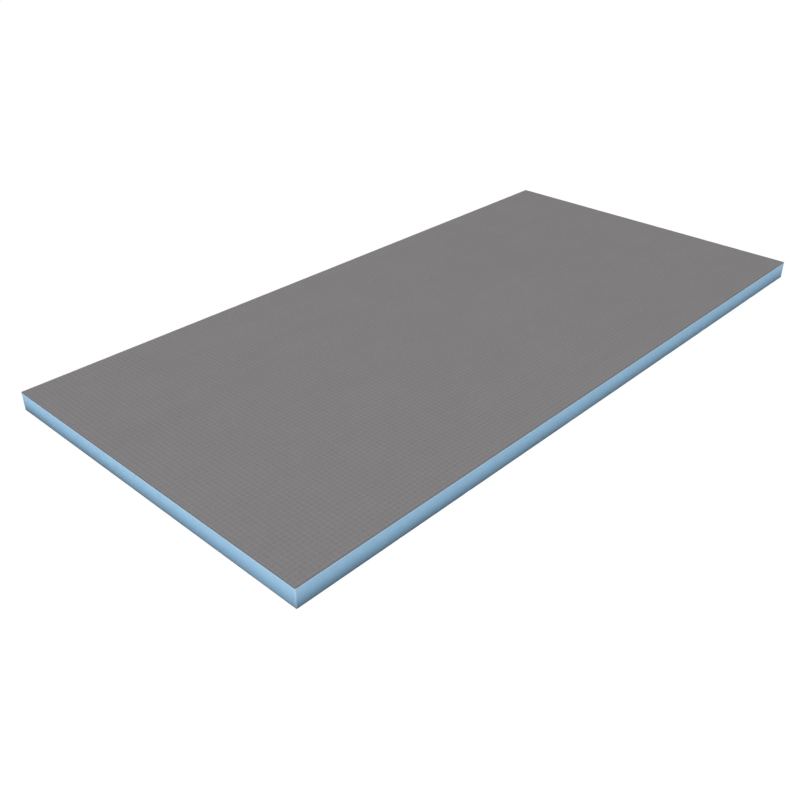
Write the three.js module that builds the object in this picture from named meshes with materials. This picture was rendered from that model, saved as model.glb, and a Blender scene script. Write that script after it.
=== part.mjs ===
// Foam tile backer board, lying flat: a blue extruded polystyrene core with a coat of grey
// polymer-cement mortar on each face. A glass-fibre mesh is cast inside each coat.
// Millimetres, +Z up. The origin is the centre of the underside, the length runs along X and
// the width along Y.

import * as THREE from "three";

// Driving dimensions, in millimetres
const BOARD_LENGTH = 1200; // between the two short sawn ends
const BOARD_WIDTH = 600; // between the two long sawn edges
const CORE_THICKNESS = 28.4; // the foam alone
const TOP_COAT_THICKNESS = 0.8; // mortar on the face that takes the tiles
const BOTTOM_COAT_THICKNESS = 0.8; // mortar on the face that is glued or screwed to the wall or floor
const CORNER_RADIUS = 1; // upright corners, rubbed a little by handling
const COAT_ARRIS = 0.25; // chamfer along the brittle outer edge of a mortar coat

// Facets of one upright corner
const CORNER_STEPS = 5;

// Levels of the layers, from the underside up
const CORE_BOTTOM = BOTTOM_COAT_THICKNESS;
const CORE_TOP = CORE_BOTTOM + CORE_THICKNESS;
const BOARD_TOP = CORE_TOP + TOP_COAT_THICKNESS;

// Directions from the board's centre to its four upright corners, counter-clockwise from above
const CORNERS = [
  [1, 1],
  [-1, 1],
  [-1, -1],
  [1, -1],
];

/** The board's outline from above, counter-clockwise, moved inwards by inset on every side. */
function boardOutline(inset) {
  const radius = CORNER_RADIUS - inset;
  const points = [];
  CORNERS.forEach(([towardsX, towardsY], corner) => {
    const centreX = towardsX * (BOARD_LENGTH / 2 - CORNER_RADIUS);
    const centreY = towardsY * (BOARD_WIDTH / 2 - CORNER_RADIUS);
    for (let step = 0; step <= CORNER_STEPS; step += 1) {
      const angle = (corner + step / CORNER_STEPS) * (Math.PI / 2);
      points.push(new THREE.Vector2(
        centreX + radius * Math.cos(angle),
        centreY + radius * Math.sin(angle),
      ));
    }
  });
  return points;
}

/**
 * One closed layer of the board. Each level is a height and the inset of the outline there,
 * from the lowest up. Walls join each outline to the next, and flat faces close both ends.
 */
function layerGeometry(levels) {
  const outlines = levels.map(({ inset }) => boardOutline(inset));
  const count = outlines[0].length;
  const positions = levels.flatMap(({ height }, level) =>
    outlines[level].flatMap(({ x, y }) => [x, y, height]));
  const triangles = [];

  for (let level = 0; level < levels.length - 1; level += 1) {
    for (let point = 0; point < count; point += 1) {
      const next = (point + 1) % count;
      const lower = level * count;
      const upper = lower + count;
      triangles.push(lower + point, lower + next, upper + next);
      triangles.push(lower + point, upper + next, upper + point);
    }
  }

  const topStart = (levels.length - 1) * count;
  for (const [a, b, c] of THREE.ShapeUtils.triangulateShape(outlines.at(-1), [])) {
    triangles.push(topStart + a, topStart + b, topStart + c);
  }
  for (const [a, b, c] of THREE.ShapeUtils.triangulateShape(outlines[0], [])) {
    triangles.push(c, b, a);
  }

  const geometry = new THREE.BufferGeometry();
  geometry.setAttribute("position", new THREE.Float32BufferAttribute(positions, 3));
  geometry.setIndex(triangles);
  geometry.computeVertexNormals();
  return geometry;
}

// Finishes
const foamMaterial = new THREE.MeshStandardMaterial({
  color: 0x9dc3e0, // pale blue foam, sawn on all four sides
  roughness: 0.75,
  metalness: 0,
});
const mortarMaterial = new THREE.MeshStandardMaterial({
  color: 0x817f80, // mid grey cement
  roughness: 0.9,
  metalness: 0,
});

/** The foam slab between the coats. */
function foamCore() {
  const geometry = layerGeometry([
    { height: CORE_BOTTOM, inset: 0 },
    { height: CORE_TOP, inset: 0 },
  ]);
  const mesh = new THREE.Mesh(geometry, foamMaterial);
  mesh.name = "foam_core";
  return mesh;
}

/** The mortar on top, with its outer arris chamfered. */
function topMortarCoat() {
  const geometry = layerGeometry([
    { height: CORE_TOP, inset: 0 },
    { height: BOARD_TOP - COAT_ARRIS, inset: 0 },
    { height: BOARD_TOP, inset: COAT_ARRIS },
  ]);
  const mesh = new THREE.Mesh(geometry, mortarMaterial);
  mesh.name = "top_mortar_coat";
  return mesh;
}

/** The mortar underneath, with its outer arris chamfered. */
function bottomMortarCoat() {
  const geometry = layerGeometry([
    { height: 0, inset: COAT_ARRIS },
    { height: COAT_ARRIS, inset: 0 },
    { height: CORE_BOTTOM, inset: 0 },
  ]);
  const mesh = new THREE.Mesh(geometry, mortarMaterial);
  mesh.name = "bottom_mortar_coat";
  return mesh;
}

const tileBackerBoard = new THREE.Group();
tileBackerBoard.name = "tile_backer_board";
tileBackerBoard.add(foamCore(), topMortarCoat(), bottomMortarCoat());

export default tileBackerBoard;
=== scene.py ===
# %% [markdown]
# # A foam tile backer board, lying flat
#
# The board is building stock. Its core is a slab of pale blue extruded polystyrene foam, sawn square on all
# four sides. Each face carries a thin coat of grey mortar, and a glass-fibre mesh is cast inside each coat:
# it stiffens the slab, and its grid just shows in the mortar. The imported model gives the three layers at
# their real size. This lesson makes the surface of each layer again as a new mesh with the relief of the
# real one, and gives it a finish.

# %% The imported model
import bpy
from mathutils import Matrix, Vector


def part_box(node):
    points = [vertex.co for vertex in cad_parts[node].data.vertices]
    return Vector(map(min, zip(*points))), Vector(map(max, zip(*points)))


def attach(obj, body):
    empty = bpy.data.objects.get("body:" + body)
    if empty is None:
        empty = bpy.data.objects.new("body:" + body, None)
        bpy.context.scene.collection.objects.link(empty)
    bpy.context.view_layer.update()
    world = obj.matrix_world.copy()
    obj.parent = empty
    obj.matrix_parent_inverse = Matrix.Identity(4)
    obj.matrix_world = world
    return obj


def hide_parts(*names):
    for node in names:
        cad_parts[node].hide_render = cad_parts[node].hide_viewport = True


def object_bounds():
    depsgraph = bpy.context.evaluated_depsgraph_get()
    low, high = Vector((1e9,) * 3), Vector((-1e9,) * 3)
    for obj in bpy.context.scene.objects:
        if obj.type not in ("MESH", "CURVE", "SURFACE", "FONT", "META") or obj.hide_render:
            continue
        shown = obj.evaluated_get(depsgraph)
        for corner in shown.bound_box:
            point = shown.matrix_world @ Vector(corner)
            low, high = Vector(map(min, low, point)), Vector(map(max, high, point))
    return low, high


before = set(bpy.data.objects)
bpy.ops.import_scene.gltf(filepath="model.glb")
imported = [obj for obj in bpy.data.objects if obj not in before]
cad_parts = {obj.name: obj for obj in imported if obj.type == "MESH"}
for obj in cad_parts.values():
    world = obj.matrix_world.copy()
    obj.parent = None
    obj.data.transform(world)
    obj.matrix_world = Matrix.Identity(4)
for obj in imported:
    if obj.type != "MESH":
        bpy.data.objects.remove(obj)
print("layers:", ", ".join(sorted(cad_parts)))

# %% [markdown]
# ## Levels and sides
#
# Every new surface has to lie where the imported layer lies, so the levels of the layers and the board's half
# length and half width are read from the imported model. A box can't tell two small sizes, the radius of the
# upright corners and the chamfer on a coat's outer edge, so these are repeated here from the part. The pitch
# of the glass mesh comes from counting the grid in the picture, because no packed layer has it.

# %% The board's levels and sides
import math

import bpy
import numpy as np
from mathutils import Matrix, Vector

MM = 0.001
CORNER_RADIUS = 1.0 * MM
COAT_ARRIS = 0.25 * MM
YARN_PITCH = 7.4 * MM

cad_low, cad_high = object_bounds()
core_low, core_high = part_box("foam_core")
HALF = np.array([core_high.x, core_high.y])
BOARD_BOTTOM, CORE_BOTTOM = cad_low.z, core_low.z
CORE_TOP, BOARD_TOP = core_high.z, cad_high.z
print("board:", (2000 * HALF).round(2), "mm, levels:", [round(z / MM, 2) for z in
      (BOARD_BOTTOM, CORE_BOTTOM, CORE_TOP, BOARD_TOP)], "mm")

# %% [markdown]
# ## The camera
#
# The picture looks down on the board from outside its near corner, with both a short and a long side in view.
# The place and the turn of the camera were worked out once from the seven corners that the picture shows.
# They could be set by hand until the outlines agree, but a board has long straight edges that show an error
# of a fraction of a degree, so solving for them was the better way. The lens moves sideways by a hundredth of
# the picture's width, no more, because the other views keep that shift.

# %% The camera
CAMERA_PLACE = Vector((-1.0624, -0.9026, 0.7235))
CAMERA_AZIMUTH = math.radians(46.70)
CAMERA_DIP = math.radians(31.42)
CAMERA_ROLL = math.radians(0.20)
LENS_MM = 42.22
SENSOR_MM = 36.0
LENS_SHIFT = -0.01
PICTURE_SIDE = 800

camera_data = bpy.data.cameras.new("camera")
camera_data.lens = LENS_MM
camera_data.sensor_width = SENSOR_MM
camera_data.shift_x = LENS_SHIFT
camera = bpy.data.objects.new("camera", camera_data)
camera.rotation_mode = "QUATERNION"
camera_turn = (
    Matrix.Rotation(-CAMERA_AZIMUTH, 3, "Z")
    @ Matrix.Rotation(math.pi / 2 - CAMERA_DIP, 3, "X")
    @ Matrix.Rotation(-CAMERA_ROLL, 3, "Z")
)
camera.rotation_quaternion = camera_turn.to_quaternion()
camera.location = CAMERA_PLACE
bpy.context.scene.collection.objects.link(camera)
bpy.context.scene.camera = camera


def picture_place(point):
    """Where a point falls in the picture: its sideways and upward offsets over its depth, in pixels."""
    sideways, upward, behind = camera_turn.transposed() @ (Vector(point) - CAMERA_PLACE)
    focal = LENS_MM / SENSOR_MM * PICTURE_SIDE
    middle = PICTURE_SIDE / 2
    return (
        round(middle - LENS_SHIFT * PICTURE_SIDE + focal * sideways / -behind, 1),
        round(middle - focal * upward / -behind, 1),
    )


for corner_name, toward_x, toward_y in (("near", -1, -1), ("right", 1, -1), ("far", 1, 1), ("left", -1, 1)):
    print(corner_name, "corner falls at", picture_place((toward_x * HALF[0], toward_y * HALF[1], BOARD_TOP)))

# %% [markdown]
# ## Two helpers for surfaces worked out as arrays
#
# A hand-made product is never exactly regular, so most of the surfaces below need soft, seeded unevenness.
# Blender's own noise works point by point; a sum of cosine waves with random directions gives the same kind
# of field for a whole array of places at once, and the seed makes it the same on every run. The second
# helper puts arrays of places and triangles into a mesh, with named values at its points for the materials.

# %% Smooth unevenness, and a mesh from arrays
WAVE_COUNT = 24
EXPORT_MAP = "OFBake"


def rolling(seed, wavelength, places):
    """A smooth field with a mean of 0 and a spread of about 1 over places, an array of rows x, y or x, y, z.

    It is the sum of WAVE_COUNT plane waves. Each is the cosine of its wave vector times the place plus a
    random phase, its length lies within 30 per cent of wavelength, and the sum is divided by the square root
    of half the count. wavelength is one number, or one for each axis for a field that is stretched.
    """
    draw = np.random.default_rng(seed)
    aim = draw.normal(size=(WAVE_COUNT, places.shape[1]))
    aim /= np.linalg.norm(aim, axis=1, keepdims=True)
    aim *= draw.uniform(0.7, 1.3, size=(WAVE_COUNT, 1))
    phase = draw.uniform(0, 2 * math.pi, WAVE_COUNT)
    waves = np.cos((places / np.asarray(wavelength)) @ (2 * math.pi * aim.T) + phase)
    return waves.sum(axis=1) * math.sqrt(2 / WAVE_COUNT)


def surface(name, places, triangles, hard_angle, layout=None, **point_values):
    """A piece with its faces smooth and its edges sharp past hard_angle degrees, linked to the scene.

    layout is the u and v of each corner of each triangle, and point_values are arrays with one value a point.
    """
    mesh = bpy.data.meshes.new(name)
    mesh.from_pydata(places, [], triangles)
    mesh.polygons.foreach_set("use_smooth", np.ones(len(triangles), bool))
    mesh.set_sharp_from_angle(angle=math.radians(hard_angle))
    if layout is not None:
        mesh.uv_layers.new(name=EXPORT_MAP).uv.foreach_set("vector", layout.astype(np.float32).ravel())
    for value_name, values in point_values.items():
        attribute = mesh.attributes.new(value_name, "FLOAT", "POINT")
        attribute.data.foreach_set("value", values.astype(np.float32))
    piece = bpy.data.objects.new(name, mesh)
    bpy.context.scene.collection.objects.link(piece)
    print(name + ":", len(places), "points,", len(triangles), "triangles, z from",
          (places[:, 2].min() / MM).round(3), "to", (places[:, 2].max() / MM).round(3), "mm")
    return piece


sample = rolling(1, 0.1, np.random.default_rng(0).uniform(-HALF, HALF, size=(5000, 2)))
print("unevenness: mean", sample.mean().round(2), "spread", sample.std().round(2))

# %% [markdown]
# ## The outline and its walls
#
# All three layers have one outline: a rectangle whose upright corners are rubbed round. It is simplest to lay
# points on the square rectangle first and then draw them back onto the rounded one, because the same step
# serves the core, where the points are evenly spaced, and the coats, where they lie at the ends of the yarns.
# A wall is a ring of points repeated at several levels and joined by triangles, and a fan closes its end.

# %% Rounding the outline and joining its rings
def drawn_back(places, inset):
    """Places on the square outline, moved onto the rounded one and then inwards by inset, one for each place.

    Each place is measured from the nearest point of a smaller rectangle, one corner radius in from the
    sides, and set at the radius less its inset from that point, in the same direction.
    """
    inner = HALF - CORNER_RADIUS
    nearest = np.clip(places, -inner, inner)
    outward = places - nearest
    outward /= np.linalg.norm(outward, axis=1, keepdims=True)
    return nearest + outward * (CORNER_RADIUS - inset)[:, None]


def wall_between(lower_ring, upper_ring):
    """Two triangles for each step round a pair of rings, facing out where the rings run anticlockwise."""
    lower_next = np.roll(lower_ring, -1)
    upper_next = np.roll(upper_ring, -1)
    return np.concatenate((
        np.stack((lower_ring, lower_next, upper_next), axis=1),
        np.stack((lower_ring, upper_next, upper_ring), axis=1),
    ))


def fan_over(ring, centre):
    """One triangle from each step of a ring to a centre point, facing up where the ring runs anticlockwise."""
    return np.stack((ring, np.roll(ring, -1), np.full_like(ring, centre)), axis=1)


corner_sample = drawn_back(np.array([HALF]), np.zeros(1))[0]
print("a square corner is drawn back by", ((HALF - corner_sample) / MM).round(3), "mm")

# %% [markdown]
# ## Laying a piece out on a square picture
#
# The coats and the core get a UV map named OFBake, which lays each out on a square picture. Blender's own
# unwrapping keeps everything to one scale, so half of the picture would go to hidden faces, and a sawn edge
# less than a millimetre high would fall between two pixels. Here a wall is cut into rows and stretched in
# height, and a hidden face gets a narrow strip.

# %% Walls in rows, faces laid flat
ROW_LENGTH_USED = 0.99
ROW_HEIGHT_USED = 0.9


def in_rows(triangles, way, whole_way, up_the_wall, rows, span):
    """The u and v of each corner of a wall's triangles, laid out in rows within a span of v.

    u is the way round since the row began, over the row's length, and v is the row plus the share of the way
    up the wall. A triangle lies in the row of its first corner. The last step round runs on past the end of
    the way, not back to its start.
    """
    around = way[triangles]
    around = np.where(around < around[:, :1], around + whole_way, around) * rows / whole_way
    row = np.floor(around[:, :1])
    row_height = (span[1] - span[0]) / rows
    u = ROW_LENGTH_USED * (around - row)
    v = span[0] + row_height * (row + 0.5 + ROW_HEIGHT_USED * (up_the_wall[triangles] - 0.5))
    return np.stack((u, v), axis=2)


def laid_flat(places, triangles, low, high):
    """The u and v of each corner, for the board's plan drawn into the rectangle between low and high."""
    share = places[triangles][..., :2] / (2 * HALF) + 0.5
    return np.array(low) + np.subtract(high, low) * share


row_sample = in_rows(np.array([[0, 1, 1]]), np.array([0.5, 0.6]), 1.0, np.array([0, 1]), 2, (0, 1))
print("a step in the second row of two lies at", row_sample.round(3).tolist())

# %% [markdown]
# ## Where the yarns run
#
# The glass mesh comes off a roll and is cut with the board, so its grid starts at any phase at an edge, and
# its yarns wander by a few tenths of a millimetre over the length of a hand. The lines below are the two edges
# with the yarns between them. A cell is what lies between two lines each way. It gets a point at each
# crossing, one at the middle of each stretch of yarn, and four round the flat pan of mortar between the yarns.
# That is the fewest that shows a rounded yarn and a flat pan, and the piece stays under 200,000 triangles.

# %% The lines of the mesh
FIRST_YARN = {"top_coat": (0.30, 0.55), "bottom_coat": (0.75, 0.20)}
SLIMMEST_CELL = 0.2


def mesh_lines(half, first):
    """The low edge, a yarn every pitch from first pitches in from it, and the high edge."""
    last = half - SLIMMEST_CELL * YARN_PITCH
    yarns = np.arange(-half + first * YARN_PITCH, last, YARN_PITCH)
    return np.concatenate(([-half], yarns, [half]))


top_lines_x = mesh_lines(HALF[0], FIRST_YARN["top_coat"][0])
top_lines_y = mesh_lines(HALF[1], FIRST_YARN["top_coat"][1])
print("yarns on the top:", len(top_lines_x) - 2, "by", len(top_lines_y) - 2)

# %% The points of the grid and the cells between them
PAN_MARGIN = 0.24


def between(values):
    """The middle of each pair of neighbours along the first axis."""
    return (values[1:] + values[:-1]) / 2


def grid_points(lines_x, lines_y):
    """The plan of all the points, how much yarn lies at each, and the numbers of the points of each kind.

    Crossings lie on two lines and have 1, middles lie between two crossings and have three quarters, and the
    four corners of a pan lie PAN_MARGIN of the cell's width in from its lines and have none.
    """
    shares = np.array([PAN_MARGIN, 1 - PAN_MARGIN])
    pan_x = (lines_x[:-1, None] + np.diff(lines_x)[:, None] * shares).ravel()
    pan_y = (lines_y[:-1, None] + np.diff(lines_y)[:, None] * shares).ravel()
    kinds = (
        ("crossing", lines_x, lines_y, 1.0),
        ("middle_x", between(lines_x), lines_y, 0.75),
        ("middle_y", lines_x, between(lines_y), 0.75),
        ("pan", pan_x, pan_y, 0.0),
    )
    plans, yarn, numbers, start = [], [], {}, 0
    for kind, along_x, along_y, share in kinds:
        shape = (len(along_x), len(along_y))
        count = shape[0] * shape[1]
        plans.append(np.stack(np.meshgrid(along_x, along_y, indexing="ij"), axis=-1).reshape(-1, 2))
        yarn.append(np.full(count, share))
        numbers[kind] = start + np.arange(count).reshape(shape)
        start += count
    return np.concatenate(plans), np.concatenate(yarn), numbers


def cell_triangles(numbers):
    """Fourteen triangles for each cell, facing up: two for the pan and three for each of its four sides."""
    crossing, pan = numbers["crossing"], numbers["pan"]
    middle_x, middle_y = numbers["middle_x"], numbers["middle_y"]
    corners = (crossing[:-1, :-1], crossing[1:, :-1], crossing[1:, 1:], crossing[:-1, 1:])
    middles = (middle_x[:, :-1], middle_y[1:, :], middle_x[:, 1:], middle_y[:-1, :])
    pans = (pan[0::2, 0::2], pan[1::2, 0::2], pan[1::2, 1::2], pan[0::2, 1::2])
    triangles = [(pans[0], pans[1], pans[2]), (pans[0], pans[2], pans[3])]
    for side in range(4):
        after = (side + 1) % 4
        triangles.append((corners[side], middles[side], pans[side]))
        triangles.append((middles[side], pans[after], pans[side]))
        triangles.append((middles[side], corners[after], pans[after]))
    return np.concatenate([np.stack([part.ravel() for part in three], axis=1) for three in triangles])


def rim_of(numbers):
    """The numbers of the points on the edges of the grid, anticlockwise from the low corner."""
    crossing, middle_x, middle_y = numbers["crossing"], numbers["middle_x"], numbers["middle_y"]

    def threaded(ends, middles):
        line = np.empty(2 * len(ends) - 1, ends.dtype)
        line[0::2] = ends
        line[1::2] = middles
        return line

    low_y = threaded(crossing[:, 0], middle_x[:, 0])
    high_x = threaded(crossing[-1, :], middle_y[-1, :])
    high_y = threaded(crossing[:, -1], middle_x[:, -1])[::-1]
    low_x = threaded(crossing[0, :], middle_y[0, :])[::-1]
    return np.concatenate((low_y[:-1], high_x[:-1], high_y[:-1], low_x[:-1]))


top_plan, top_yarn, top_numbers = grid_points(top_lines_x, top_lines_y)
print("grid:", len(top_plan), "points,", len(cell_triangles(top_numbers)), "triangles,",
      len(rim_of(top_numbers)), "points on the rim")

# %% [markdown]
# ## A mortar coat
#
# The coat is rolled on wet, over the mesh. Mortar sinks a little between the yarns as it dries, so the surface
# is highest over a crossing and lowest in the pans, and where the roller left more mortar the mesh shows less.
# Displacing a subdivided plane would need millions of faces for that. Here the relief is given to the points
# of the grid themselves, so each one does some work. The sawn edge is brittle and crumbles a little. The lower
# coat is the same surface turned over, with its own seeds.

# %% Relief of the coat, as depths below the outermost level
PAN_DEPTH = 0.17 * MM
SWELL_DEPTH = 0.02 * MM
SAND_LIFT = 0.006 * MM
WANDER = 0.45 * MM
WANDER_LENGTH = 0.16
EDGE_HOLD = 12 * MM
COVER, LEAST_COVER = 0.8, 0.5
COVER_PATCHES, COVER_PATCH_LENGTH = 0.1, 0.15
COVER_STREAKS, COVER_STREAK_LENGTHS = 0.06, (0.5, 0.04)
SWELL_LENGTH = 0.09


def wandered(plan, seed):
    """The plan with its lines moved sideways by a soft field that dies away towards the edge beside them."""
    room = np.clip((HALF - np.abs(plan)) / EDGE_HOLD, 0, 1)
    drift = np.stack([rolling(seed + axis, WANDER_LENGTH, plan) for axis in (0, 1)], axis=1)
    return plan + WANDER * room * np.clip(drift, -2, 2)


def coat_depth(plan, yarn, seed):
    """How far each point lies under the highest level.

    The pans are PAN_DEPTH down. A yarn lifts its points by its share of that times the cover, which varies
    between about a half and one in streaks along the board. A slow swell and single grains of sand are added.
    """
    patches = COVER_PATCHES * rolling(seed, COVER_PATCH_LENGTH, plan)
    streaks = COVER_STREAKS * rolling(seed + 1, COVER_STREAK_LENGTHS, plan)
    cover = np.clip(COVER + patches + streaks, LEAST_COVER, 1)
    swell = np.clip(1 + 0.5 * rolling(seed + 2, SWELL_LENGTH, plan), 0, 2)
    sand = np.abs(np.random.default_rng(seed + 3).normal(size=len(plan)))
    return PAN_DEPTH * (1 - yarn * cover) + SWELL_DEPTH * swell + SAND_LIFT * sand


# %% The whole coat, closed by its sawn walls
CRUMBLE = 0.10 * MM
CHIP = 0.22 * MM
CHIP_LENGTH = 0.03
CHIP_STARTS, CHIP_GROWS = 1.3, 1.5
RIM_DROP = 0.3 * PAN_DEPTH
WALL_FOLLOWS, FOOT_FOLLOWS = 0.4, 0.2
# The rim takes this share of the sawn edge's dark grey, which puts painted shade on the chamfer.
RIM_SAWN_AND_SHADED = 0.6
HIDDEN_INSET = 0.05 * MM
COAT_ROWS, COAT_ROWS_SPAN = 4, (0.94, 1)
COAT_FACE_SPOT = ((0, 0), (1, 0.9))
COAT_HIDDEN_SPOT = ((0.01, 0.905), (0.99, 0.935))


def mortar_coat(name, outer_level, inner_level, seed):
    """A closed coat between two levels: its relief, the chamfered rim, the sawn wall and the hidden face.

    The rim is set in by the chamfer, a random crumble and, where a slow field passes CHIP_STARTS, a chip. The
    wall's upper ring follows it at a share, and the wall goes down to the core's level. For the lower coat the
    outer level is the lower one, so the levels run downwards and every triangle is turned round.
    """
    up = math.copysign(1, outer_level - inner_level)
    first_x, first_y = FIRST_YARN[name]
    plan, yarn, numbers = grid_points(mesh_lines(HALF[0], first_x), mesh_lines(HALF[1], first_y))
    rim = rim_of(numbers)
    plan = wandered(plan, seed)
    depth = coat_depth(plan, yarn, seed + 10)

    edge = plan[rim]
    chips = CHIP * np.clip(rolling(seed + 20, CHIP_LENGTH, edge) - CHIP_STARTS, 0, CHIP_GROWS)
    crumble = CRUMBLE * np.random.default_rng(seed + 21).uniform(0, 1, size=len(rim))
    plan[rim] = drawn_back(edge, COAT_ARRIS + crumble + chips)
    depth[rim] = RIM_DROP + 0.5 * crumble + 0.4 * chips
    face = np.column_stack((plan, outer_level - up * depth))

    upper_plan = drawn_back(edge, WALL_FOLLOWS * (crumble + chips))
    upper = np.column_stack((upper_plan, outer_level - up * (COAT_ARRIS + chips)))
    lower_plan = drawn_back(edge, HIDDEN_INSET + FOOT_FOLLOWS * crumble)
    lower = np.column_stack((lower_plan, np.full(len(rim), inner_level)))
    centre = np.array([[0, 0, inner_level]])
    places = np.concatenate((face, upper, lower, centre))
    upper_ring = len(face) + np.arange(len(rim))
    lower_ring = upper_ring + len(rim)

    cells = cell_triangles(numbers)
    walls = np.concatenate((wall_between(upper_ring, rim), wall_between(lower_ring, upper_ring)))
    hidden = fan_over(lower_ring, len(places) - 1)[:, ::-1]
    step = np.linalg.norm(np.roll(edge, -1, axis=0) - edge, axis=1)
    way = np.zeros(len(places))
    way[[rim, upper_ring, lower_ring]] = np.cumsum(step) - step
    up_the_wall = (places[:, 2] - inner_level) / (outer_level - inner_level)
    layout = np.concatenate((
        laid_flat(places, cells, *COAT_FACE_SPOT),
        in_rows(walls, way, step.sum(), up_the_wall, COAT_ROWS, COAT_ROWS_SPAN),
        laid_flat(places, hidden, *COAT_HIDDEN_SPOT),
    ))
    triangles = np.concatenate((cells, walls, hidden))
    if up < 0:
        triangles, layout = triangles[:, ::-1], layout[:, ::-1]

    shows_yarn = np.concatenate((yarn, np.zeros(2 * len(rim) + 1)))
    shows_yarn[rim] = 0
    # The walls take the sawn edge's dark grey in full and the rim in part: the cut colour with painted shade.
    sawn = np.concatenate((np.zeros(len(face)), np.ones(2 * len(rim) + 1)))
    sawn[rim] = RIM_SAWN_AND_SHADED
    cut_yarns = (yarn[rim] == 1) & (np.isclose(np.abs(edge), HALF).sum(axis=1) == 1)
    yarn_feet = drawn_back(edge[cut_yarns], np.zeros(cut_yarns.sum()))
    coat = surface(name, places, triangles, hard_angle=40, layout=layout, yarn=shows_yarn, sawn=sawn)
    return coat, yarn_feet


# %% Both coats
top_coat, top_yarn_feet = mortar_coat("top_coat", BOARD_TOP, CORE_TOP, 100)
bottom_coat, bottom_yarn_feet = mortar_coat("bottom_coat", BOARD_BOTTOM, CORE_BOTTOM, 200)
print("yarns cut at the edges:", len(top_yarn_feet), "on top,", len(bottom_yarn_feet), "below")

# %% [markdown]
# ## Yarn ends in the sawn edge
#
# The saw cuts the yarns with the board, and a short tuft of glass stays proud of the wall at each one. A curve
# with a bevel would do for a few; there are nearly five hundred to a coat, so one small lofted shape is worked
# out once as an array and laid at every yarn by broadcasting. Each tuft has 48 triangles and sits with its
# foot inside the mortar.

# %% A tuft at every cut yarn
TUFT_SIDES = 6
TUFT_HALF_WIDTH = 0.42 * MM
TUFT_HALF_HEIGHT = 0.13 * MM
TUFT_REACH = np.array([-0.35, 0.02, 0.14, 0.26]) * MM
TUFT_FULLNESS = np.array([0.9, 1.0, 0.8, 0.35])
TUFT_LEAN = 0.15 * MM
YARN_COVER = 0.45 * MM


def yarn_ends(name, feet, level, seed):
    """One closed lens-shaped tuft at each foot, pointing straight out of the wall.

    A point of a tuft is its foot, plus its reach times the outward direction, plus the cosine of its angle
    times the half width along the edge, plus the sine times the half height upwards, both scaled by the
    fullness at that reach. The tips lean sideways and their reach varies at random.
    """
    draw = np.random.default_rng(seed)
    count = len(feet)
    outward = np.where(np.abs(np.abs(feet) - HALF) < CORNER_RADIUS, np.sign(feet), 0)
    along = outward[:, ::-1] * np.array([-1, 1])
    angle = np.arange(TUFT_SIDES) / TUFT_SIDES * 2 * math.pi
    reach = TUFT_REACH * draw.uniform(0.6, 1.4, size=(count, 1))
    lean = TUFT_LEAN * draw.normal(size=(count, 1)) * np.clip(TUFT_REACH / TUFT_REACH[-1], 0, 1)
    across = lean[:, :, None] + TUFT_HALF_WIDTH * TUFT_FULLNESS[:, None] * np.cos(angle)
    rise = TUFT_HALF_HEIGHT * TUFT_FULLNESS[:, None] * np.sin(angle)

    rings = np.empty((count, len(TUFT_REACH), TUFT_SIDES, 3))
    rings[..., :2] = (
        feet[:, None, None, :]
        + reach[:, :, None, None] * outward[:, None, None, :]
        + across[..., None] * along[:, None, None, :]
    )
    rings[..., 2] = level + rise
    ends = rings[:, [0, -1]].mean(axis=2)
    places = np.concatenate((rings.reshape(count, -1, 3), ends), axis=1)

    ring = np.arange(TUFT_SIDES)
    ring_count = len(TUFT_REACH)
    foot_centre = ring_count * TUFT_SIDES
    steps = [ring + TUFT_SIDES * number for number in range(ring_count)]
    tuft = [wall_between(steps[number], steps[number + 1]) for number in range(ring_count - 1)]
    tuft.append(fan_over(steps[0], foot_centre)[:, ::-1])
    tuft.append(fan_over(steps[-1], foot_centre + 1))
    tuft = np.concatenate(tuft)
    triangles = tuft + np.arange(count)[:, None, None] * (foot_centre + 2)
    return surface(name, places.reshape(-1, 3), triangles.reshape(-1, 3), hard_angle=60)


top_ends = yarn_ends("top_yarn_ends", top_yarn_feet, BOARD_TOP - YARN_COVER, 300)
bottom_ends = yarn_ends("bottom_yarn_ends", bottom_yarn_feet, BOARD_BOTTOM + YARN_COVER, 301)

# %% [markdown]
# ## The foam core
#
# The foam is extruded as a long slab and sawn to size, so its four sides show faint saw marks that lean a
# little, a slow wave from the blade, and arrises that are slightly crushed. Its faces are hidden under the
# mortar. The side is one surface with two parameters, the way round the outline and the height, and its relief
# is how far each point is set in. A bevel and a displacement texture would give the same look, but not saw
# marks that run up the side and round the corners.

# %% Stops round the outline and up the side
SIDE_STEP = 1.25 * MM
CORNER_STOPS = 4
ARRIS_STOPS = np.array([0, 0.04, 0.12, 0.25, 0.5, 1.2, 2.6, 4.6, 7.0, 9.6, 12.0]) * MM


def side_stops(half):
    """Stops along one side: evenly spaced, with CORNER_STOPS more over the rounded corner at each end."""
    straight = half - CORNER_RADIUS
    middle = np.linspace(-straight, straight, round(2 * straight / SIDE_STEP) + 1)
    corner = np.linspace(straight, half, CORNER_STOPS + 1)[1:]
    return np.concatenate((-corner[::-1], middle, corner))


def round_the_board():
    """Places round the square outline, anticlockwise from the low corner, and each one's side by number."""
    stops_x, stops_y = side_stops(HALF[0]), side_stops(HALF[1])
    low_y = np.column_stack((stops_x, np.full_like(stops_x, -HALF[1])))
    high_x = np.column_stack((np.full_like(stops_y, HALF[0]), stops_y))
    sides = (low_y[:-1], high_x[:-1], -low_y[:-1], -high_x[:-1])
    return np.concatenate(sides), np.repeat(np.arange(4), [len(side) for side in sides])


outline, outline_side = round_the_board()
middle_level = (CORE_BOTTOM + CORE_TOP) / 2
levels = np.concatenate((CORE_BOTTOM + ARRIS_STOPS, [middle_level], CORE_TOP - ARRIS_STOPS[::-1]))
print("core:", len(outline), "stops round by", len(levels), "levels")

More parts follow.
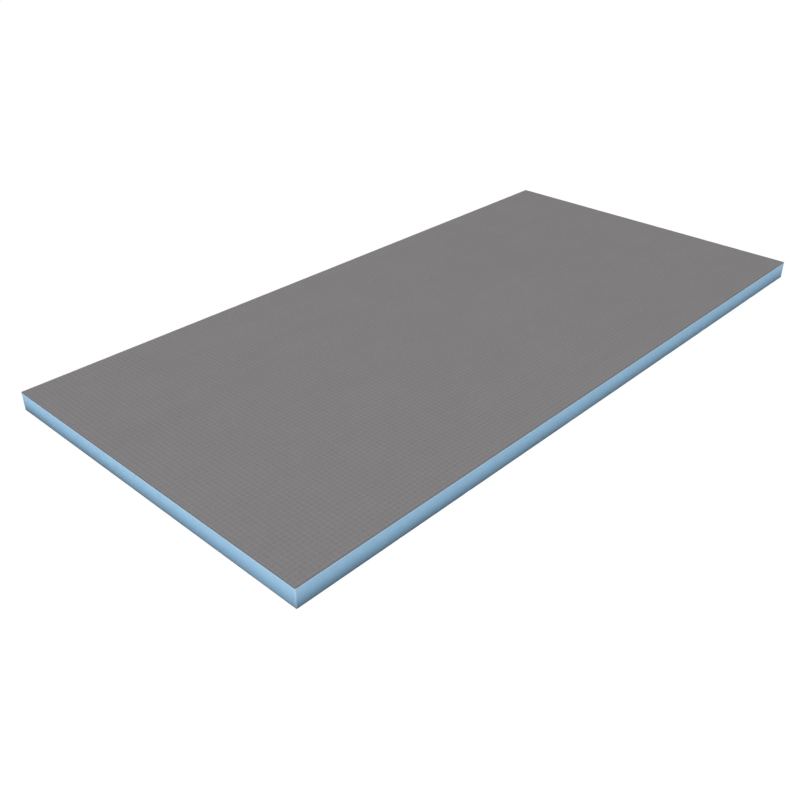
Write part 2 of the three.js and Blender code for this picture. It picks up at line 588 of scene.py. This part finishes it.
# %% The core's sides and its closed form
ARRIS_RADIUS = 0.25 * MM
BLADE_WAVE = 0.07 * MM
BLADE_WAVE_LENGTH = 0.11
SAW_MARK = 0.018 * MM
SAW_MARK_PITCH = 5.5 * MM
SAW_LEAN = 0.35
MARK_STRENGTH, MARK_PATCHES, MARK_PATCH_LENGTH = 0.6, 0.5, 0.08
NICK_COUNT = 26
NICK_DEPTH = 0.35 * MM
NICK_WIDTHS_MM, NICK_HEIGHTS_MM = (1.5, 4.0), (0.6, 1.6)
WAVE_SEED, MARK_SEED, NICK_SEED = 401, 402, 403
DEEPEST_INSET = 0.9 * CORNER_RADIUS
# How far the paler foam reaches from each arris and the corner: wear, with a painted highlight under the top
# arris and at the corners.
UPPER_RUB_AND_HIGHLIGHT = 5.0 * MM
LOWER_RUB = 0.9 * MM
CORNER_RUB_AND_HIGHLIGHT = 1.4 * MM
# A slow uneven field for how much painted shade falls at the foot of each side.
SHADE_SEED = 593
SHADE_LENGTH = 1.6
SHADE_MEAN = 0.88
SHADE_SPREAD = 0.14
SIDES_APART = 5.0
CORE_ROWS, CORE_ROWS_SPAN = 12, (0, 0.93)
CORE_UNDER_SPOT = ((0.01, 0.94), (0.49, 0.99))
CORE_OVER_SPOT = ((0.51, 0.94), (0.99, 0.99))


def side_inset(way, height, plan):
    """How far each point of the side is set in, for arrays of the way round, the height and the plan.

    Four things add up: the quarter circle of the crushed arris, the blade's slow wave, the leaning saw marks,
    which are a cosine of the way plus the height times the lean and come and go, and a few nicks, each a
    bell shape with its own width, placed on an arris at random.
    """
    from_arris = np.minimum(height - CORE_BOTTOM, CORE_TOP - height)
    fall = np.clip(ARRIS_RADIUS - from_arris, 0, None)
    arris = ARRIS_RADIUS - np.sqrt(ARRIS_RADIUS**2 - fall**2)
    wave = BLADE_WAVE * (1 + 0.5 * np.clip(rolling(WAVE_SEED, BLADE_WAVE_LENGTH, plan), -2, 2))
    strength = np.clip(MARK_STRENGTH + MARK_PATCHES * rolling(MARK_SEED, MARK_PATCH_LENGTH, plan), 0, 1.4)
    marks = SAW_MARK * strength * (1 + np.cos(2 * math.pi * (way + SAW_LEAN * height) / SAW_MARK_PITCH))
    draw = np.random.default_rng(NICK_SEED)
    nicks = np.zeros_like(way)
    for _ in range(NICK_COUNT):
        centre_way = draw.uniform(0, way.max())
        centre_height = draw.choice((CORE_BOTTOM, CORE_TOP))
        width, tall = draw.uniform(*NICK_WIDTHS_MM) * MM, draw.uniform(*NICK_HEIGHTS_MM) * MM
        spread = ((way - centre_way) / width) ** 2 + ((height - centre_height) / tall) ** 2
        nicks += NICK_DEPTH * draw.uniform(0.4, 1) * np.exp(-spread)
    return arris + wave + marks + nicks


def foam_core():
    """The closed core: its sides on the grid of stops and levels, and a fan over each hidden face.

    A point's rub, which is paler foam from wear together with a painted highlight, is a sum of falling
    exponentials of its distances from the two arrises and the corner, and its share of painted shade near the
    foot is a slow field. The field's third coordinate sets the sides far apart, so each has its own.
    """
    count = len(outline)
    step = np.linalg.norm(np.roll(outline, -1, axis=0) - outline, axis=1)
    way = np.tile(np.cumsum(step) - step, len(levels))
    height = np.repeat(levels, count)
    plan = np.tile(outline, (len(levels), 1))
    inset = np.clip(side_inset(way, height, plan), 0, DEEPEST_INSET)
    side = np.column_stack((drawn_back(plan, inset), height))
    places = np.concatenate((side, [[0, 0, CORE_BOTTOM], [0, 0, CORE_TOP]]))

    ring = np.arange(count)
    walls = np.concatenate([
        wall_between(ring + count * low, ring + count * (low + 1)) for low in range(len(levels) - 1)
    ])
    under = fan_over(ring, len(side))[:, ::-1]
    over = fan_over(ring + count * (len(levels) - 1), len(side) + 1)

    from_corner = np.abs(HALF - np.abs(plan)).max(axis=1)
    edges = ((CORE_TOP - height, UPPER_RUB_AND_HIGHLIGHT), (height - CORE_BOTTOM, LOWER_RUB), (from_corner, CORNER_RUB_AND_HIGHLIGHT))
    rubbed = sum(np.exp(-distance / reach) for distance, reach in edges)
    rubbed = np.concatenate((np.clip(rubbed, 0, 1), [0, 0]))
    spot = np.column_stack((plan, np.tile(SIDES_APART * outline_side, len(levels))))
    dirt = SHADE_MEAN + SHADE_SPREAD * rolling(SHADE_SEED, SHADE_LENGTH, spot)
    dirt = np.concatenate((dirt, [SHADE_MEAN, SHADE_MEAN]))

    up_the_side = (height - CORE_BOTTOM) / (CORE_TOP - CORE_BOTTOM)
    layout = np.concatenate((
        in_rows(walls, way, step.sum(), up_the_side, CORE_ROWS, CORE_ROWS_SPAN),
        laid_flat(places, under, *CORE_UNDER_SPOT),
        laid_flat(places, over, *CORE_OVER_SPOT),
    ))
    triangles = np.concatenate((walls, under, over))
    return surface("foam_sides", places, triangles, hard_angle=50, layout=layout, rubbed=rubbed, dirt=dirt)


foam = foam_core()

# %% [markdown]
# ## Effects that the finishes share
#
# Mortar and foam look different, but both are a body colour with grain, cloudy patches and marked edges, where
# the foam's wear and the mortar's cut colour come with a painted highlight and painted shade. Each of those
# three effects is a shader node group with named inputs, made once and placed in every finish with its own
# values. The groups give only tones, masks and heights: a tone of 1 leaves the colour as it is. They read
# Object coordinates in metres, so a size is a real size.

# %% Short ways to place a node and to start a group
def place(tree, kind, links=None, **settings):
    """A new node of a kind. settings are its properties, and links gives its inputs a value or an output."""
    made = tree.nodes.new("ShaderNode" + kind)
    for setting, value in settings.items():
        setattr(made, setting, value)
    for socket, value in (links or {}).items():
        if isinstance(value, bpy.types.NodeSocket):
            tree.links.new(value, made.inputs[socket])
        else:
            made.inputs[socket].default_value = value
    return made


def maths(tree, operation, first, second):
    """The output of a Math node on two values or outputs."""
    return place(tree, "Math", {0: first, 1: second}, operation=operation).outputs[0]


def effect(name, inputs, outputs):
    """An empty node group, its inputs and its outputs. Place is a vector, and every other socket a number."""
    tree = bpy.data.node_groups.new(name, "ShaderNodeTree")
    for socket in inputs:
        kind = "NodeSocketVector" if socket == "Place" else "NodeSocketFloat"
        tree.interface.new_socket(socket, in_out="INPUT", socket_type=kind)
    for socket in outputs:
        tree.interface.new_socket(socket, in_out="OUTPUT", socket_type="NodeSocketFloat")
    return tree, tree.nodes.new("NodeGroupInput").outputs, tree.nodes.new("NodeGroupOutput").inputs


# %% Grain: sand in the mortar, cells in the foam
def grain_effect():
    """Cells of a given size in metres, each with a tone of 1 plus or minus the contrast, and their relief."""
    tree, given, gives = effect("grain", ("Place", "Size", "Contrast"), ("Tone", "Height"))
    scale = maths(tree, "DIVIDE", 1.0, given["Size"])
    cells = place(tree, "TexVoronoi", {"Vector": given["Place"], "Scale": scale, "Randomness": 1.0})
    spread = place(tree, "MapRange", {"Value": cells.outputs["Color"], "To Min": -1.0, "To Max": 1.0})
    tone = maths(tree, "ADD", 1.0, maths(tree, "MULTIPLY", spread.outputs[0], given["Contrast"]))
    tree.links.new(tone, gives["Tone"])
    tree.links.new(cells.outputs["Distance"], gives["Height"])
    return tree


grain = grain_effect()
print("effect:", grain.name, [socket.name for socket in grain.interface.items_tree])


# %% Clouding: uneven mixing, roller streaks, layers in the foam
def clouding_effect():
    """Soft patches of a given size in metres, with a tone of 1 plus or minus the contrast.

    The place is divided by the size along each axis, so that the patches can be stretched into streaks.
    """
    tree, given, gives = effect("clouding", ("Place", "Size X", "Size Y", "Size Z", "Contrast"), ("Tone",))
    size = place(tree, "CombineXYZ", {"X": given["Size X"], "Y": given["Size Y"], "Z": given["Size Z"]})
    scaled = place(tree, "VectorMath", {0: given["Place"], 1: size.outputs[0]}, operation="DIVIDE")
    noise = place(tree, "TexNoise", {"Vector": scaled.outputs[0], "Scale": 1.0, "Detail": 3.0,
                                     "Roughness": 0.55})
    spread = place(tree, "MapRange", {"Value": noise.outputs[0], "From Min": 0.25, "From Max": 0.75,
                                      "To Min": -1.0, "To Max": 1.0})
    tone = maths(tree, "ADD", 1.0, maths(tree, "MULTIPLY", spread.outputs[0], given["Contrast"]))
    tree.links.new(tone, gives["Tone"])
    return tree


clouding = clouding_effect()
print("effect:", clouding.name, [socket.name for socket in clouding.interface.items_tree])


# %% Edge mask: a mask along edges, broken up as real wear is, for worn and sawn edges and the painted shade and highlight on them
def edge_mask_effect():
    """A mask that is 1 where the edge value is high, eaten into by noise of a given size in metres."""
    tree, given, gives = effect("edge_mask", ("Place", "Edge", "Break Size", "Amount"), ("Mask",))
    scale = maths(tree, "DIVIDE", 1.0, given["Break Size"])
    noise = place(tree, "TexNoise", {"Vector": given["Place"], "Scale": scale, "Detail": 2.0})
    eaten = maths(tree, "MULTIPLY", given["Edge"], maths(tree, "ADD", 0.5, noise.outputs[0]))
    mask = place(tree, "MapRange", {"Value": eaten, "From Min": 0.15, "From Max": 0.95, "To Min": 0.0,
                                    "To Max": given["Amount"]}, interpolation_type="SMOOTHSTEP")
    tree.links.new(mask.outputs[0], gives["Mask"])
    return tree


edge_mask = edge_mask_effect()
print("effect:", edge_mask.name, [socket.name for socket in edge_mask.interface.items_tree])

# %% [markdown]
# ## Finishes
#
# A finish starts from one colour. The tones of the effects are multiplied together and then with that colour,
# and where an edge is worn or sawn a second colour is mixed in, which carries painted shade on the sawn mortar
# and a painted highlight on the foam's arrises. Grain also feeds a Bump node, at about the depth that it
# really has, because a grain of sand is far too small to be a face of the mesh. The sides of the foam darken
# towards the foot. Light alone didn't give that here, so it is painted shade in the colour.

# %% Starting a finish and colouring it
def new_finish(name):
    """A material with its Principled BSDF, and the Object coordinates that its effects read."""
    material = bpy.data.materials.new(name)
    material.use_nodes = True
    tree = material.node_tree
    return material, tree, tree.nodes["Principled BSDF"], place(tree, "TexCoord").outputs["Object"]


def effect_in(tree, group, **values):
    """The outputs of an effect placed in a material, its inputs given by name with underscores for spaces."""
    made = tree.nodes.new("ShaderNodeGroup")
    made.node_tree = group
    for socket, value in values.items():
        wanted = made.inputs[socket.replace("_", " ")]
        if isinstance(value, bpy.types.NodeSocket):
            tree.links.new(value, wanted)
        else:
            wanted.default_value = value
    return made.outputs


def toned(tree, colour, *tones):
    """A colour times a tone or several, as an output."""
    whole = tones[0]
    for tone in tones[1:]:
        whole = maths(tree, "MULTIPLY", whole, tone)
    return place(tree, "VectorMath", {0: colour, 1: whole}, operation="MULTIPLY").outputs[0]


def mixed(tree, mask, first, second):
    """The first colour, or the second where the mask is 1, as an output."""
    mix = place(tree, "Mix", {"Factor": mask, "A": first, "B": second}, data_type="VECTOR")
    return mix.outputs["Result"]


def mesh_value(tree, name):
    """A value that the mesh carries at its points, as an output."""
    return place(tree, "Attribute", attribute_name=name).outputs["Fac"]


# %% Grey mortar
MORTAR_GREY = (0.256, 0.247, 0.252)
# The sawn edge's grey is darker than cut mortar, because painted shade under the coat's edge is part of it.
SAWN_AND_SHADED_GREY = (0.080, 0.082, 0.086)
YARN_PALENESS = 0.13


def mortar_finish():
    """Cement grey with sand grain, roller streaks and the mesh showing through, and dark grey on the sawn edge
    and its chamfer, the cut colour with painted shade.
    """
    material, tree, shader, places = new_finish("mortar")
    sand = effect_in(tree, grain, Place=places, Size=0.0009, Contrast=0.07)
    fines = effect_in(tree, grain, Place=places, Size=0.0004, Contrast=0.13)
    mixing = effect_in(tree, clouding, Place=places, Size_X=0.06, Size_Y=0.06, Size_Z=0.06, Contrast=0.022)
    roller = effect_in(tree, clouding, Place=places, Size_X=0.45, Size_Y=0.018, Size_Z=0.1, Contrast=0.014)
    yarn_tone = maths(tree, "ADD", 1.0, maths(tree, "MULTIPLY", mesh_value(tree, "yarn"), YARN_PALENESS))
    body = toned(tree, MORTAR_GREY, sand["Tone"], fines["Tone"], mixing["Tone"], roller["Tone"], yarn_tone)
    # Dark grey for the sawn edge: the cut colour with painted shade.
    cut = toned(tree, SAWN_AND_SHADED_GREY, sand["Tone"], sand["Tone"], mixing["Tone"])
    sawn = effect_in(tree, edge_mask, Place=places, Edge=mesh_value(tree, "sawn"), Break_Size=0.0012, Amount=1.0)
    tree.links.new(mixed(tree, sawn["Mask"], body, cut), shader.inputs["Base Color"])
    roughness = maths(tree, "MULTIPLY", sand["Tone"], 0.88)
    tree.links.new(roughness, shader.inputs["Roughness"])
    height = maths(tree, "ADD", sand["Height"], maths(tree, "MULTIPLY", fines["Height"], 0.4))
    bump = place(tree, "Bump", {"Strength": 0.7, "Distance": 0.14 * MM, "Height": height}, invert=True)
    tree.links.new(bump.outputs[0], shader.inputs["Normal"])
    shader.inputs["Specular IOR Level"].default_value = 0.15
    return material


mortar = mortar_finish()
print("finish:", mortar.name, len(mortar.node_tree.nodes), "nodes")

# %% Blue foam
FOAM_BLUE = (0.312, 0.547, 0.764)
RUB_AND_HIGHLIGHT_BLUE = (0.50, 0.62, 0.73)
# Painted shade on the foam's sides, darker from this height down to the foot.
SHADE_REACH = CORE_TOP - 7 * MM
SHADE_DEPTH = 0.70
SHADE_CURVE = 1.35


def painted_foot_shade(tree, places, patches):
    """A tone by height for painted shade that darkens a side towards its foot, 1 above the shade's top level.

    Below it the tone is 1 less the shade's depth times the share of the way down, raised to the shade's curve.
    The mesh's uneven share of shade and the patches make it uneven.
    """
    height = place(tree, "SeparateXYZ", {0: places}).outputs["Z"]
    share = place(tree, "MapRange", {"Value": height, "From Min": CORE_BOTTOM, "From Max": SHADE_REACH,
                                     "To Min": 1.0, "To Max": 0.0}).outputs[0]
    depth = maths(tree, "MULTIPLY", maths(tree, "POWER", share, SHADE_CURVE), SHADE_DEPTH)
    uneven = maths(tree, "MULTIPLY", mesh_value(tree, "dirt"), patches)
    return maths(tree, "SUBTRACT", 1.0, maths(tree, "MULTIPLY", depth, uneven))


def foam_finish():
    """Pale blue with fine cells and faint layers, paler on the arrises from wear with a painted highlight, and
    darker towards the foot with painted shade.
    """
    material, tree, shader, places = new_finish("foam")
    cells = effect_in(tree, grain, Place=places, Size=0.0006, Contrast=0.07)
    layers = effect_in(tree, clouding, Place=places, Size_X=0.12, Size_Y=0.12, Size_Z=0.0022, Contrast=0.02)
    dye = effect_in(tree, clouding, Place=places, Size_X=0.011, Size_Y=0.011, Size_Z=0.006, Contrast=0.045)
    patches = effect_in(tree, clouding, Place=places, Size_X=0.14, Size_Y=0.14, Size_Z=0.06, Contrast=0.12)
    # Painted shade: the sides made darker towards the foot.
    foot_shade = painted_foot_shade(tree, places, patches["Tone"])
    body = toned(tree, FOAM_BLUE, cells["Tone"], layers["Tone"], dye["Tone"], foot_shade)
    # Paler blue on the arrises and corners: wear together with a painted highlight.
    pale = toned(tree, RUB_AND_HIGHLIGHT_BLUE, cells["Tone"], foot_shade)
    edge = mesh_value(tree, "rubbed")
    rubbed = effect_in(tree, edge_mask, Place=places, Edge=edge, Break_Size=0.002, Amount=0.55)
    tree.links.new(mixed(tree, rubbed["Mask"], body, pale), shader.inputs["Base Color"])
    tree.links.new(maths(tree, "MULTIPLY", cells["Tone"], 0.62), shader.inputs["Roughness"])
    bump = place(tree, "Bump", {"Strength": 0.6, "Distance": 0.10 * MM, "Height": cells["Height"]})
    tree.links.new(bump.outputs[0], shader.inputs["Normal"])
    shader.inputs["Specular IOR Level"].default_value = 0.25
    shader.inputs["Subsurface Weight"].default_value = 0.12
    shader.inputs["Subsurface Scale"].default_value = 2 * MM
    return material


blue_foam = foam_finish()
print("finish:", blue_foam.name, len(blue_foam.node_tree.nodes), "nodes")

# %% Glass yarn
GLASS_GREY = (0.34, 0.34, 0.34)


def glass_finish():
    """Sized glass fibre, greyed by mortar dust, with the fibres as a fine grain."""
    material, tree, shader, places = new_finish("glass_yarn")
    fibres = effect_in(tree, grain, Place=places, Size=0.00012, Contrast=0.18)
    dust = effect_in(tree, clouding, Place=places, Size_X=0.02, Size_Y=0.02, Size_Z=0.02, Contrast=0.2)
    tree.links.new(toned(tree, GLASS_GREY, fibres["Tone"], dust["Tone"]), shader.inputs["Base Color"])
    shader.inputs["Roughness"].default_value = 0.55
    return material


glass_yarn = glass_finish()
print("finish:", glass_yarn.name, len(glass_yarn.node_tree.nodes), "nodes")

# %% [markdown]
# ## Dressing the imported board
#
# Each new surface takes the place of its packed layer and rides on the board's one body. The tufts are extra
# pieces on the coats, so they replace nothing.

# %% Finishes and bodies
BODY = "root"
pieces = (
    (top_coat, mortar, "mortar"),
    (bottom_coat, mortar, "mortar"),
    (foam, blue_foam, "foam"),
    (top_ends, glass_yarn, "mortar"),
    (bottom_ends, glass_yarn, "mortar"),
)
for piece, finish, slot_name in pieces:
    piece.data.materials.append(finish)
    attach(piece, BODY)

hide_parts("top_mortar_coat")
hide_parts("bottom_mortar_coat")
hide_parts("foam_core")
print("dressed:", [piece.name for piece, _, _ in pieces])

# %% [markdown]
# ## Floor and light
#
# The picture has a plain white ground with hardly any shadow. A white floor alone would come out grey beside
# the board, so the camera sees it mostly by its own glow, and the board still gets the bounce and the faint
# contact shadow of an ordinary pale floor. A large soft key lamp to the left of the camera gives the short
# side more light than the long one. It stands well back, so that the near end of the board is hardly lighter
# than the far one. A weaker fill lamp opposite keeps the two far sides pale blue. It faces the camera across
# the board, so it is kept out of reflections, or the far end of the mortar would take a sheen from it. A white
# world does the rest, and the camera sees it as white as the floor.

# %% The floor
FLOOR_HALF = 8.0
FLOOR_WHITE = (0.80, 0.80, 0.80, 1)
GLOW_SHARE = 0.85
GLOW_STRENGTH = 1.08


def floor_finish():
    """Pale and matt for every ray, and mixed with a white glow for the camera's own rays."""
    material, tree, shader, _ = new_finish("floor")
    shader.inputs["Base Color"].default_value = FLOOR_WHITE
    shader.inputs["Roughness"].default_value = 0.9
    shader.inputs["Specular IOR Level"].default_value = 0.1
    glow = place(tree, "Emission", {"Color": (1, 1, 1, 1), "Strength": GLOW_STRENGTH})
    seen = maths(tree, "MULTIPLY", place(tree, "LightPath").outputs["Is Camera Ray"], GLOW_SHARE)
    mix = place(tree, "MixShader", {0: seen, 1: shader.outputs[0], 2: glow.outputs[0]})
    tree.links.new(mix.outputs[0], tree.nodes["Material Output"].inputs["Surface"])
    return material


square = np.array([[-1, -1, 0], [1, -1, 0], [1, 1, 0], [-1, 1, 0]])
floor_corners = FLOOR_HALF * square + [0, 0, BOARD_BOTTOM]
floor = surface("floor", floor_corners, np.array([[0, 1, 2], [0, 2, 3]]), hard_angle=30)
floor.data.materials.append(floor_finish())

# %% The lamps and the world
WORLD_STRENGTH = 0.45


def soft_lamp(name, location, side, watts):
    """A square lamp that faces the board's middle."""
    lamp_data = bpy.data.lights.new(name, "AREA")
    lamp_data.shape = "SQUARE"
    lamp_data.size = side
    lamp_data.energy = watts
    lamp = bpy.data.objects.new(name, lamp_data)
    lamp.location = location
    lamp.rotation_mode = "QUATERNION"
    lamp.rotation_quaternion = (-Vector(location)).to_track_quat("-Z", "Y")
    bpy.context.scene.collection.objects.link(lamp)
    return lamp


key_lamp = soft_lamp("key_lamp", location=(-10.4, -6.15, 7.0), side=6.3, watts=1163)
fill_lamp = soft_lamp("fill_lamp", location=(6.8, 6.8, 2.2), side=3.4, watts=250)
fill_lamp.visible_glossy = False

world = bpy.data.worlds.new("studio")
world.use_nodes = True
fill = world.node_tree.nodes["Background"]
fill.inputs["Color"].default_value = (1, 1, 1, 1)
fill.inputs["Strength"].default_value = WORLD_STRENGTH
backdrop = place(world.node_tree, "Background", {"Color": (1, 1, 1, 1), "Strength": 1.0})
seen = place(world.node_tree, "LightPath").outputs["Is Camera Ray"]
sky = place(world.node_tree, "MixShader", {0: seen, 1: fill.outputs[0], 2: backdrop.outputs[0]})
world.node_tree.links.new(sky.outputs[0], world.node_tree.nodes["World Output"].inputs["Surface"])
bpy.context.scene.world = world
bpy.context.scene.view_settings.view_transform = "Standard"
distances = [round(lamp.location.length, 1) for lamp in (key_lamp, fill_lamp)]
print("lamps at", distances, "m, world strength", WORLD_STRENGTH)
